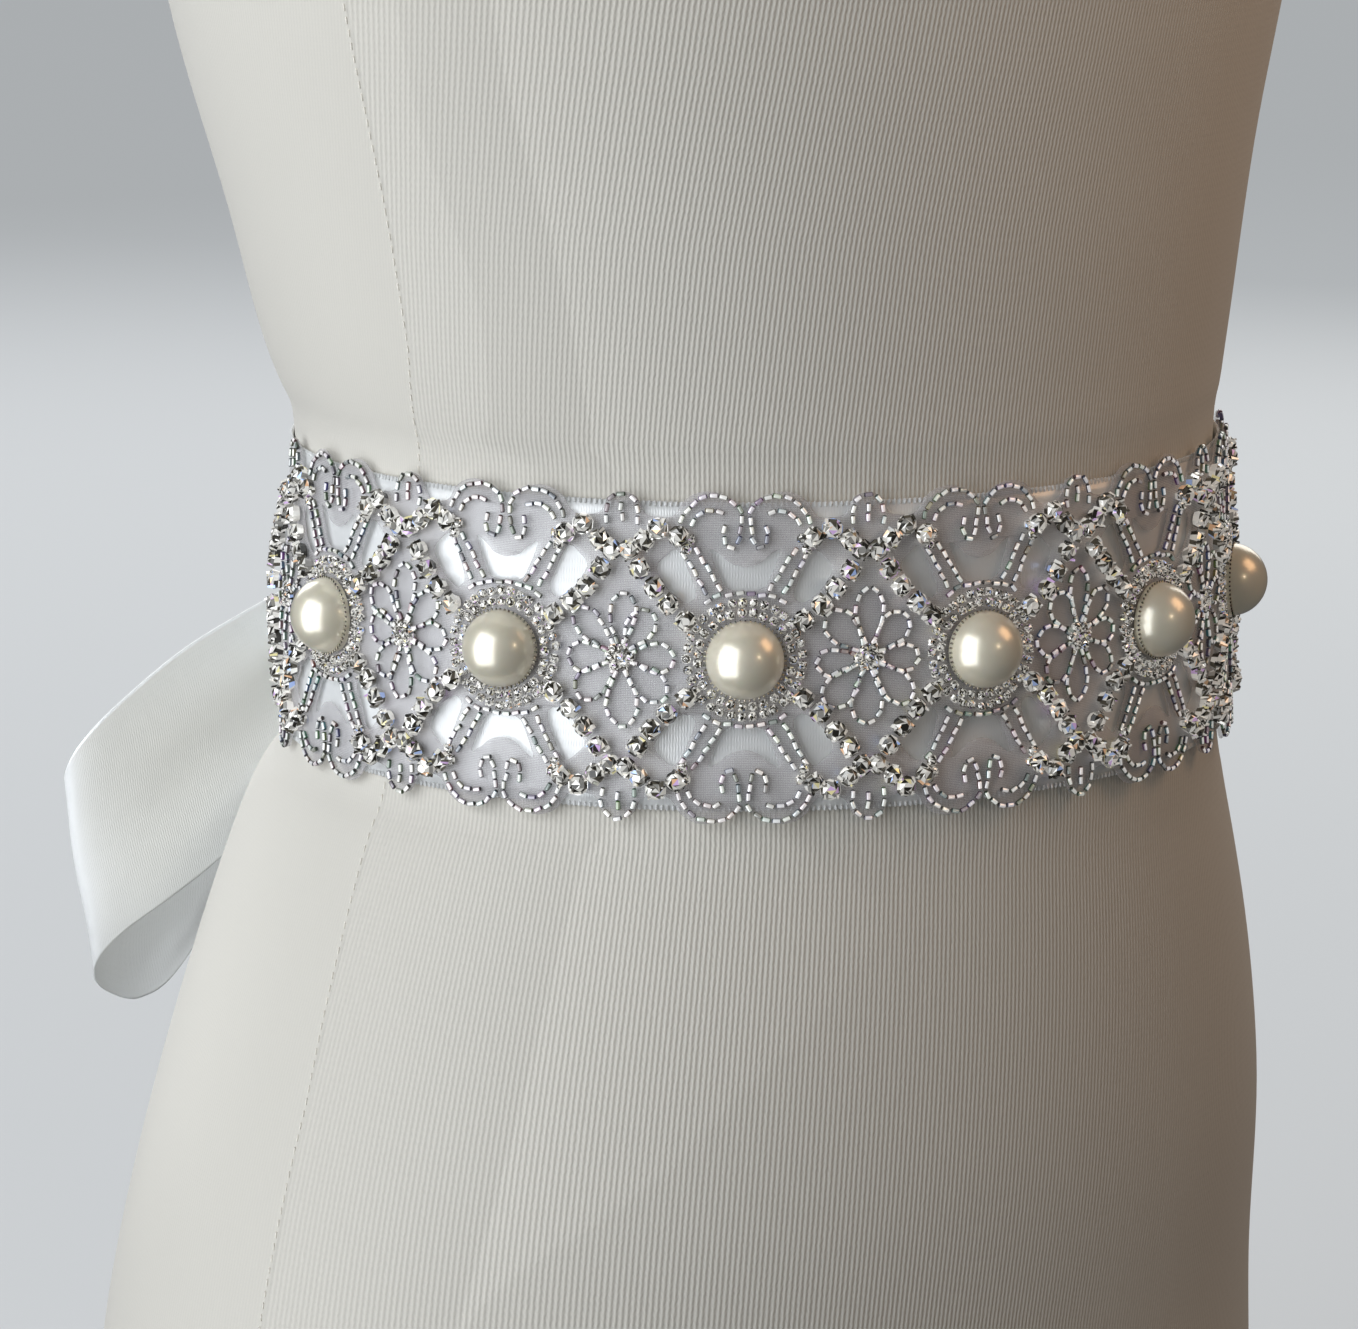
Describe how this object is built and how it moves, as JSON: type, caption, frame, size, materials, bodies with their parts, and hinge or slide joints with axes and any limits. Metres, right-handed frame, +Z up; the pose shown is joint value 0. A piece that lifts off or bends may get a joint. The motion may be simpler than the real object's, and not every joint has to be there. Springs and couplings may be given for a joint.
{
  "type": "bridal sash on a dress form",
  "caption": "Satin ribbon sash with a beaded rhinestone and pearl applique, tied in a bow at the back of a limbless dress form.",
  "frame": {"origin": "centre of the dress form's flat base, on the surface it stands on", "axes": "+Z up along the form; the sash's front faces -Y and its bow is on the +Y side"},
  "size_m": [0.288, 0.2664, 0.71],
  "materials": {
    "form_cover": "matte ribbed jersey",
    "satin_ribbon": "glossy satin",
    "organza": "sheer, beaded",
    "rhinestone": "faceted, silver-backed",
    "pearl": "pearlescent"
  },
  "bodies": {
    "root": {"dress_form": "form_cover", "ribbon_band": "satin_ribbon", "applique_net": "organza", "rhinestone_chain": "rhinestone", "bow_knot": "satin_ribbon", "bow_loop_right": "satin_ribbon", "bow_loop_left": "satin_ribbon", "bow_tail_right": "satin_ribbon", "bow_tail_left": "satin_ribbon", "pearl_1": "pearl", "pearl_2": "pearl", "pearl_3": "pearl", "pearl_4": "pearl", "pearl_5": "pearl", "pearl_6": "pearl", "pearl_7": "pearl", "pearl_8": "pearl"}
  },
  "joints": []
}
